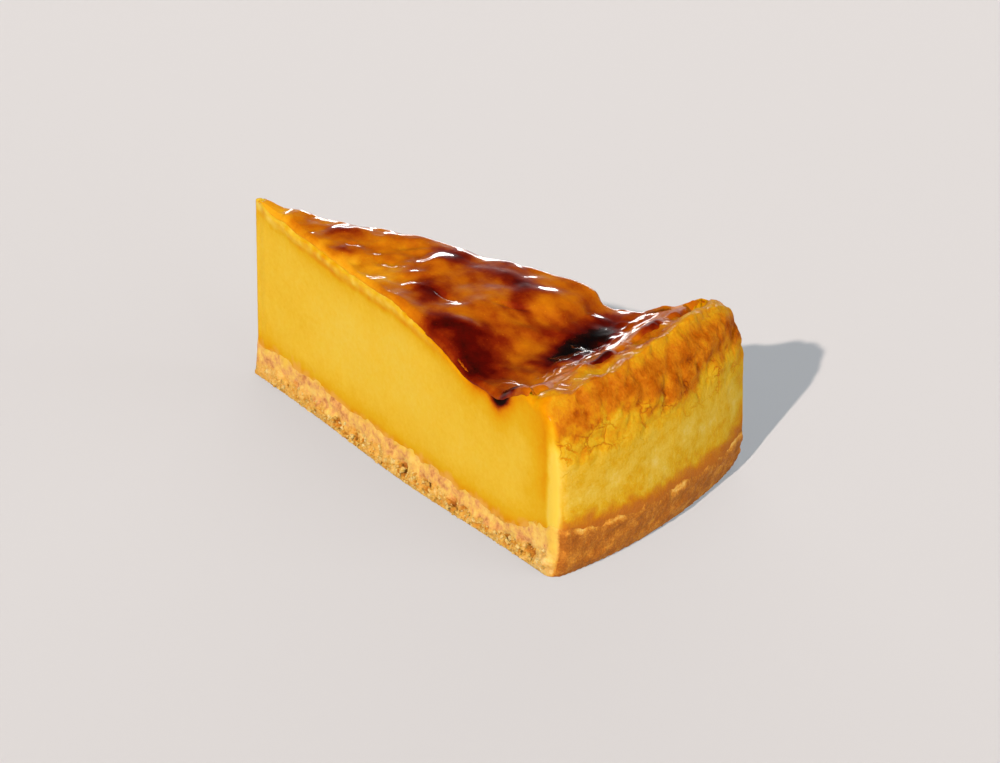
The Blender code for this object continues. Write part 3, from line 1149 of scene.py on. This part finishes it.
            # The cut's colour, with its painted pale corner strip, reaches up to 1.5 mm onto the
            # wall's rounded corner
            baked = max(on_wall, on_top) * smooth(0.3, 1.5, spot.side_gap)
            marks["toast"].append(mix(self.cut_toast(x, y, z, depth), outside, baked))
            marks["crust"].append(baked)
            wet = 0.35 * hill(depth, 1.4, 1.0) * early * on_cut
            crest = fall(0.5, 4.0, depth) * skin * smooth(94.8, 96.5, r)
            glint = smooth(0.16, 0.40, grain(x, y, z, 1.8, 70.0)) * hill(r, 90.8, 3.2) * on_top
            marks["gloss"].append(max(wet, 0.12 * crest, 0.28 * leaf, 0.45 * glint * ashore))
            # The skin's pits and crack seams are painted darker through this mark: painted shade in
            # the recesses
            marks["recess_shade"].append(crack * on_wall * (1.0 - on_cut))
            open_skin = smooth(0.0, 0.4, grain(x, y, z, 4.5, 33.0) + 0.25 * hill(z, 26.5, 3.0))
            marks["craze"].append(hill(z, 26.5, 5.0) * open_skin * on_wall)
            soaked = (1.0 - self.form.custard_share(x, y, z)) * self.form.inland(x, y)
            drift = 2.2 * grain(x, y, z, 2.2, 28.0) + 1.2 * grain(x, y, z, 1.0, 69.0)
            tanned = 0.8 * fall(-0.5, 4.2, above_lip + drift)
            marks["soak"].append(mix(soaked, tanned, skin))
        return dress(piece, marks, self.finish.build())


@dataclass
class CaramelGlaze:
    """The torched sugar that covers the top and bends over its cut edges."""

    form: CakeForm
    finish: BurntSugar = BurntSugar()
    rows: int = 330
    columns: int = 146
    flat_part: float = 0.95
    lift: float = 0.26
    sheet: float = 0.35
    tip_start: float = 0.018
    rim_end: float = 0.966
    tucked: float = -0.45

    def wrinkles(self, x: float, y: float) -> float:
        """Fine relief of the sugar: blisters, slits, ripples and the wrinkled skin of the moat.

        Args:
            x: place along the slice.
            y: place across the slice.

        Returns:
            The relief in millimetres.
        """
        r, across = self.form.polar(x, y)
        height = sum(patch.bump * patch.cover(x, y) for patch in SCORCHES + SWELLS if patch.bump)
        height += 0.08 * grain(x, y, 0.0, 3.4, 41.0) + 0.03 * grain(x, y, 0.0, 1.4, 42.0)
        black = hill(x, 79.0, 3.0) * smooth(-16.0, -8.0, y) * fall(18.0, 24.0, y)
        folds = 1.0 - 2.0 * abs(grain(x, 0.5 * y, 0.0, 1.9, 43.0))
        height += 0.30 * black * (folds - 0.4) + 0.09 * black * grain(x, 0.3 * y, 0.0, 0.7, 45.0)
        height += 0.55 * smooth(79.0, 82.0, r)
        height += 0.14 * smooth(82.0, 86.0, r) * grain(x, y, 0.0, 2.4, 46.0)
        front = hill(x, 84.0, 4.0) * fall(-21.0, -18.0, y)
        height += 0.16 * front * grain(0.4 * x, y, 0.0, 0.9, 50.0)
        near_tip = fall(34.0, 50.0, r)
        height += 0.10 * near_tip * grain(x, y, 0.0, 1.5, 44.0)
        back = (1.0 - across) * r * math.sin(self.form.half_angle)
        crest = max(0.45 + 0.8 * grain(x, y, 0.0, 4.0, 47.0), 0.0) * hill(back, 3.2, 2.0)
        return height + 0.40 * crest * smooth(6.0, 14.0, r) * fall(60.0, 68.0, r)

    def surface_point(self, u: float, v: float) -> tuple[float, float, float, float]:
        """Carry a point of the flat sheet onto the cake's top.

        Args:
            u: 0 at the tip, 1 at the rim.
            v: -1 at the front edge, 1 at the back edge.

        Returns:
            The place from the apex, and how near the sheet's border it is, 1 on the border.
        """
        side = math.copysign(1.0, v)
        flat = min(abs(v) / self.flat_part, 1.0)
        share = mix(self.tip_start, self.rim_end, u)
        x, y, z = self.form.filling_point(share, side * flat, 1.0)
        wrap = max((abs(v) - self.flat_part) / (1.0 - self.flat_part), 0.0)
        if wrap > 0.0:
            rounding = self.form.cut_edge_round * smooth(0.0, 0.12, share)
            bend = math.radians(mix(50.0, 58.0, smooth(0.52, 0.60, share)))
            ragged = 0.12 * grain(x, 3.0 * side, 0.0, 1.6, 48.0) * wrap
            drop = rounding * (1.0 - math.cos(wrap * bend)) + ragged
            low = self.form.base_top(x, y)
            x, y, z = self.form.filling_point(share, side, 1.0 - max(drop, 0.0) / (z - low))
        border = max(smooth(0.94, 1.0, abs(v)), fall(0.0, 0.03, u))
        return x, y, z, border

    def build(self) -> Piece:
        """Lay the sheet on the cake, give it its thickness and dress it.

        Returns:
            The finished piece.
        """
        deselect_all()
        bpy.ops.mesh.primitive_grid_add(
            x_subdivisions=self.rows, y_subdivisions=self.columns, size=2.0
        )
        piece = bpy.context.object
        piece.name = piece.data.name = "caramel_glaze"
        lifts, scorches, sheen = [], [], []
        for vertex in piece.data.vertices:
            u, v = (vertex.co.x + 1.0) / 2.0, vertex.co.y
            x, y, z, border = self.surface_point(u, v)
            vertex.co = self.form.place(x, y, z)
            sunk = smooth(-1.4, 0.6, self.form.shoreline(x, y))
            lift = (self.lift + self.wrinkles(x, y)) * (1.0 - border) + 0.02 * border
            lift -= 0.5 * fall(0.0, 0.012, u)
            lifts.append(mix(lift, self.tucked, sunk))
            scorches.append(self.form.scorch(x, y))
            wrapped = smooth(self.flat_part, 1.0, abs(v))
            sheen.append(fall(83.0, 85.5, math.hypot(x, y)) * (1.0 - wrapped))
        piece.data.update()
        normals = [vertex.normal.copy() for vertex in piece.data.vertices]
        for vertex, normal, lift in zip(piece.data.vertices, normals, lifts):
            vertex.co += normal * lift * MM
        write_attribute(piece, "scorch", scorches)
        write_attribute(piece, "wet", sheen)
        apply_modifier(piece, "SOLIDIFY", thickness=self.sheet * MM, offset=-1.0)
        return dress(piece, {}, self.finish.build())


@dataclass
class BiscuitBase:
    """The pressed biscuit base, crumbly where it was cut."""

    form: CakeForm
    finish: BiscuitCrumb = BiscuitCrumb()
    plain_height: float = 7.0
    voxel: float = 0.30
    rise: float = 1.2
    pit_depth: float = 1.3
    holes: tuple[Point, ...] = (
        (20.5, 1.9, 0.7),
        (27.6, 1.8, 1.2),
        (33.4, 1.1, 0.8),
        (48.6, 2.1, 1.5),
        (56.0, 1.9, 1.3),
        (64.2, 2.0, 1.4),
        (67.2, 2.3, 0.9),
        (80.4, 1.6, 1.2),
        (87.0, 2.6, 1.0),
    )

    def cut_detail(self, x: float, side: float, z: float, level: float) -> tuple[float, float]:
        """Crumbs and pits of a cut side.

        Args:
            x: place along the slice.
            side: the cut's sign.
            z: height.
            level: share of the base's height.

        Returns:
            The relief in millimetres, and how deep in a pit the point lies.
        """
        loose = fall(0.40, 0.70, level + 0.34 * grain(x, 5.0 * side, 0.0, 4.0, 51.0))
        lumps = 0.50 * crumble(x, 5.0 * side, z, 2.6, "CHEBYCHEV")
        lumps += 0.40 * crumble(x, 9.0 * side, z, 1.2, "MANHATTAN")
        lumps += 0.26 * grain(x, 2.0 * side, z, 0.6, 63.0)
        pit = 0.5 * smooth(0.30, 0.65, grain(x, 7.0 * side, 1.4 * z, 2.6, 52.0))
        pit *= smooth(0.02, 0.12, level) * loose * (1.0 - 0.6 * smooth(82.0, 90.0, x))
        edge = 1.0 + 0.45 * grain(x, 3.0 * side, z, 0.9, 57.0)
        for at, height, reach in self.holes:
            away = math.hypot(x - at, z - height) / (reach * edge)
            pit = max(pit, math.exp(-(away ** 4)))
        return lumps * mix(0.10, 1.0, loose) - self.pit_depth * pit, pit

    def mould(self, share: float, across: float, level: float) -> Point:
        """Carry the plain wedge's shares onto the base, its top a little past the joint."""
        x, y, z = self.form.base_point(share, across, level)
        return x, y, z + self.rise * smooth(0.72, 1.0, level)

    def build(self) -> Piece:
        """Shape, dress and place the base.

        Returns:
            The finished piece.
        """
        wedge = PlainWedge(self.form, "biscuit_crumb_base", self.plain_height, self.voxel)
        piece = wedge.build()
        marks = {name: [] for name in ("toast", "recess_shade", "soak", "seep")}
        for vertex, spot in zip(piece.data.vertices, wedge.carry(piece, self.mould)):
            x, y, z = spot.place
            _, across, level = spot.shares
            on_wall, on_cut = spot.on_wall, spot.on_cut
            side = math.copysign(1.0, across)
            relief, pit = self.cut_detail(x, side, z, level)
            past = z - self.form.base_top(x, y)
            joint = fall(1.0, 2.2, abs(past))
            bite = 0.26 * grain(x + y, 5.0 * side, z, 2.6, 67.0)
            bite += 0.13 * grain(x + y, 5.0 * side, z, 0.9, 68.0) - 0.13 * past - 0.06
            bite = (bite * smooth(0.0, 3.0, x) + 0.14 * on_wall) * joint
            shift = relief * on_cut * smooth(0.0, 0.06, level) * (1.0 - joint)
            shift += bite * max(on_cut, on_wall)
            sandy = 0.16 * grain(x, y, z, 1.1, 53.0) + 0.20 * crumble(x, y, z, 1.3)
            sandy *= (1.0 - 0.5 * joint) * smooth(0.0, 0.06, level)
            shift += (sandy - 0.15) * on_wall * (1.0 - on_cut)
            vertex.co += spot.normal * shift * MM
            vertex.co.z = max(vertex.co.z, 0.0)
            ragged = 1.2 * grain(y, 0.0, 0.0, 5.5, 54.0) + 0.5 * grain(y, 0.0, z, 1.9, 55.0)
            # The cut is painted paler on its crumb lumps and darker in the gaps and pits, as
            # painted light and shade, and paler towards the wall end
            cut = 0.30 - 0.14 * relief - 0.08 * smooth(82.0, 92.0, x)
            wall = 0.62 + 0.12 * grain(y, 0.0, z, 3.0, 56.0)
            wall -= 0.34 * hill(level + 0.05 * ragged, 0.93, 0.04) * smooth(0.0, 0.4, ragged + 0.2)
            marks["toast"].append(mix(cut, wall, on_wall * (1.0 - on_cut)))
            marks["recess_shade"].append(pit * on_cut)
            bleed = min(level, 1.0) + 0.22 * grain(x, 5.0 * side, z, 2.4, 64.0)
            bleed += 0.12 * grain(x, 5.0 * side, z, 0.9, 65.0)
            marks["soak"].append(smooth(0.40, 0.62, bleed) * on_cut)
            # The corner by the wall is painted custard yellow down the base, carrying on the
            # filling's pale corner strip, partly painted light; elsewhere the mark follows where
            # custard soaked in
            to_wall = 97.4 - math.hypot(x, y) + 0.5 * ragged
            corner = fall(0.1, 0.3 + 0.15 * max(z, 0.0), to_wall)
            custard = 0.9 * self.form.custard_share(x, y, z) * self.form.inland(x, y)
            marks["seep"].append(max(custard, 0.8 * corner * smooth(1.2, 6.5, z)) * on_cut)
        return dress(piece, marks, self.finish.build())


@dataclass
class LooseCrumbs:
    """Biscuit crumbs that the knife left clinging to the cut sides of the base."""

    form: CakeForm
    material: Material
    count: int = 1100
    smallest: float = 0.12
    largest: float = 0.52
    seed: int = 4

    def one_crumb(self, name: str, turn: float) -> Piece:
        """Make one crumb of unit size, knobbly and angular.

        Args:
            name: its name.
            turn: where it reads the noise that shapes it.

        Returns:
            The crumb, around the origin.
        """
        deselect_all()
        bpy.ops.mesh.primitive_ico_sphere_add(subdivisions=2, radius=1.0)
        crumb = bpy.context.object
        crumb.name = crumb.data.name = name
        for vertex in crumb.data.vertices:
            vertex.co *= 1.0 + 0.9 * grain(*vertex.co, 0.9, turn)
        return crumb

    def spot(self, dice: random.Random) -> tuple[Vector, float]:
        """Choose where one crumb clings and how big it is.

        Args:
            dice: the seeded source of chance.

        Returns:
            Its place in the row frame and its radius in millimetres.
        """
        share = 0.02 + 0.97 * dice.random() ** 0.8
        side = Side.FRONT if dice.random() < 0.55 else Side.BACK
        level = 0.03 + 0.50 * dice.random() ** 1.3
        size = mix(self.smallest, self.largest, dice.random() ** 2.2)
        if level < 0.2:
            size *= 0.7
        x, y, z = self.form.base_point(share, side.value * 0.999, level)
        angle = self.form.half_angle
        inward = 0.45 * size - 0.15
        x += inward * math.sin(angle)
        y -= side.value * inward * math.cos(angle)
        return self.form.place(x, y, max(z, 0.8 * size)), size

    def build(self) -> Piece:
        """Scatter the crumbs and join them into one piece.

        Returns:
            The finished piece.
        """
        dice = random.Random(self.seed)
        moulds = [self.one_crumb(f"crumb_{index}", 3.7 * index) for index in range(5)]
        crumbs = []
        for index in range(self.count):
            place, size = self.spot(dice)
            mesh = moulds[index % len(moulds)].data.copy()
            turn = Euler([dice.uniform(0.0, math.tau) for _ in range(3)]).to_matrix().to_4x4()
            squash = [size * MM * dice.uniform(0.65, 1.0) for _ in range(3)]
            mesh.transform(Matrix.Translation(place) @ turn @ Matrix.Diagonal((*squash, 1.0)))
            crumb = bpy.data.objects.new(f"loose_{index}", mesh)
            bpy.context.scene.collection.objects.link(crumb)
            tone = dice.uniform(0.12, 0.50)
            write_attribute(crumb, "toast", [tone] * len(mesh.vertices))
            for name in ("recess_shade", "soak", "seep"):
                write_attribute(crumb, name, [0.0] * len(mesh.vertices))
            crumbs.append(crumb)
        for mould in moulds:
            bpy.data.objects.remove(mould)
        piece = crumbs[0]
        make_active(piece)
        for crumb in crumbs:
            crumb.select_set(True)
        bpy.ops.object.join()
        piece.name = piece.data.name = "loose_biscuit_crumbs"
        piece.data.materials.append(self.material)
        return piece


def direction(azimuth: float, elevation: float) -> Vector:
    """Point from the slice toward an azimuth and elevation.

    Args:
        azimuth: the azimuth in degrees.
        elevation: the elevation in degrees.

    Returns:
        A unit vector.
    """
    turn, rise = math.radians(azimuth), math.radians(elevation)
    flat = math.cos(rise)
    return Vector((math.cos(turn) * flat, math.sin(turn) * flat, math.sin(rise)))


@dataclass(frozen=True)
class Lamp:
    """One lamp that faces the slice: a sun with a spread in degrees, or a panel sized in metres."""

    name: str
    azimuth: float
    elevation: float
    strength: float
    colour: str
    spread: float = 0.0
    distance: float = 0.0
    size: tuple[float, float] = (0.0, 0.0)
    mirrored_spread: float = 10.0

    def build(self) -> None:
        """Hang the lamp; a wide sun is a soft sky that leaves no mirror image in the gloss."""
        data = bpy.data.lights.new(self.name, "AREA" if self.distance else "SUN")
        if self.distance:
            data.shape = "RECTANGLE"
            data.size, data.size_y = self.size
        else:
            data.angle = math.radians(self.spread)
        data.energy = self.strength
        data.color = linear(self.colour)[:3]
        lamp = bpy.data.objects.new(self.name, data)
        toward = direction(self.azimuth, self.elevation)
        lamp.location = toward * self.distance
        lamp.rotation_euler = toward.to_track_quat("Z", "Y").to_euler()
        lamp.visible_glossy = self.spread < self.mirrored_spread
        bpy.context.scene.collection.objects.link(lamp)


LAMPS = (
    Lamp("key", -76.0, 34.0, 3.06, "#FFEEE2", spread=1.3),
    Lamp("overhead_fill", -60.0, 74.0, 1.06, "#EEF6FF", spread=70.0),
    Lamp("rim_side_fill", 2.0, 30.0, 1.44, "#F2F8FF", spread=60.0),
    Lamp("gloss_panel", 128.0, 6.5, 12.0, "#FFFFFF", distance=1.6, size=(1.7, 0.28)),
)


@dataclass
class Studio:
    """Camera, floor and lights of the picture."""

    form: CakeForm
    elevation: float = 28.808
    azimuth: float = -52.351
    distance: float = 1470.0
    aim: Point = (61.65, -2.095, 19.6)
    lens_mm: float = 281.56
    sensor_mm: float = 36.0
    floor_size: float = 8.0
    floor_colour: str = "#DAD8D6"
    air_colour: str = "#D8DEE6"
    air_strength: float = 0.015

    def place_camera(self) -> None:
        """Set the camera where the photograph was taken from."""
        back = direction(self.azimuth, self.elevation)
        camera = bpy.data.objects.new("camera", bpy.data.cameras.new("camera"))
        camera.data.lens = self.lens_mm
        camera.data.sensor_width = self.sensor_mm
        camera.data.clip_end = 20.0
        camera.location = self.form.place(*self.aim) + back * self.distance * MM
        camera.rotation_euler = (-back).to_track_quat("-Z", "Y").to_euler()
        bpy.context.scene.collection.objects.link(camera)
        bpy.context.scene.camera = camera

    def lay_floor(self) -> None:
        """Lay a plain matt floor under the slice."""
        deselect_all()
        bpy.ops.mesh.primitive_plane_add(size=self.floor_size, location=(0.0, 0.0, 0.0))
        floor = bpy.context.object
        floor.name = "studio_floor"
        material, tree, shader = new_material("matt_painted_board")
        colour = linear(self.floor_colour)
        feed(tree, shader, {"Base Color": colour, "Roughness": 0.9, "Specular IOR Level": 0.1})
        floor.data.materials.append(material)

    def light(self) -> None:
        """Light the slice: a hard warm key, soft cool fill and a low panel behind for the gloss."""
        for lamp in LAMPS:
            lamp.build()
        world = bpy.data.worlds.new("studio_air")
        world.use_nodes = True
        air = {"Color": linear(self.air_colour), "Strength": self.air_strength}
        feed(world.node_tree, world.node_tree.nodes["Background"], air)
        bpy.context.scene.world = world

    def build(self) -> None:
        """Set the whole studio up."""
        self.place_camera()
        self.lay_floor()
        self.light()
        bpy.context.scene.view_settings.view_transform = "Standard"


def attach(piece: Piece, slot: str, *nodes: str) -> None:
    """Tie a piece to the slice's one body, and keep its colour from spilling on the floor.

    Args:
        piece: the finished piece.
        slot: not used.
        nodes: the solids that it stands for.
    """
    piece.visible_diffuse = False
    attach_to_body(piece, "root")
    if nodes:
        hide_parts(*nodes)
    LOG.info("%s: %d faces", piece.name, len(piece.data.polygons))


def main() -> None:
    """Load the frame, then build every piece and the studio."""
    logging.basicConfig(level=logging.INFO, format="%(name)s: %(message)s")
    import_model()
    form = CakeForm()
    attach(PotatoFilling(form).build(), "filling", "potato_filling")
    attach(CaramelGlaze(form).build(), "filling")
    base = BiscuitBase(form).build()
    attach(base, "biscuit", "biscuit_base")
    attach(LooseCrumbs(form, base.data.materials[0]).build(), "biscuit")
    Studio(form).build()


if __name__ == "__main__":
    main()
